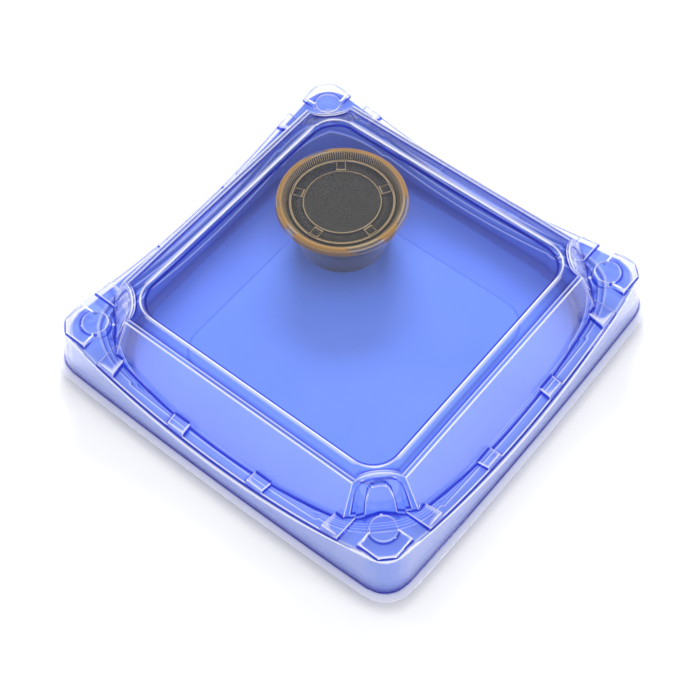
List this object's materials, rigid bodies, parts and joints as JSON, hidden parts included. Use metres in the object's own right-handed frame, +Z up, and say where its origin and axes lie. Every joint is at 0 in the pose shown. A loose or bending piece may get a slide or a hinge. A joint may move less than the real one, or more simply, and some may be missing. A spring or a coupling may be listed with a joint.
{
  "type": "snap lid food container",
  "caption": "Square formed tray with upswept corners, a clear domed lid that snaps over its rim and lifts off, and a round lidded dressing cup standing inside",
  "frame": {"origin": "on the ground under the middle of the tray", "axes": "+Z up; the four equal sides run along X and Y; the dressing cup stands towards the -X +Y corner"},
  "size_m": [0.214, 0.214, 0.049],
  "materials": {
    "tray_blue": "thermoformed tinted sheet, glossy, slightly see-through",
    "lid_clear": "thermoformed clear sheet, glossy",
    "cup_clear": "clear formed cup",
    "cup_lid_clear": "clear formed cup lid",
    "dressing_dark": "dark brown liquid"
  },
  "bodies": {
    "tray": {"tray": "tray_blue"},
    "lid": {"lid": "lid_clear"},
    "dressing_cup": {"dressing_cup": "cup_clear", "dressing": "dressing_dark"},
    "dressing_cup_lid": {"dressing_cup_lid": "cup_lid_clear"}
  },
  "joints": [
    {"name": "lid_lift", "type": "slide", "parent": "tray", "child": "lid", "axis": [0, 0, 1], "range_m": [0, 0.12]},
    {"name": "cup_lift", "type": "slide", "parent": "tray", "child": "dressing_cup", "axis": [0, 0, 1], "range_m": [0, 0.005]},
    {"name": "cup_lid_lift", "type": "slide", "parent": "dressing_cup", "child": "dressing_cup_lid", "axis": [0, 0, 1], "range_m": [0, 0.005]}
  ]
}
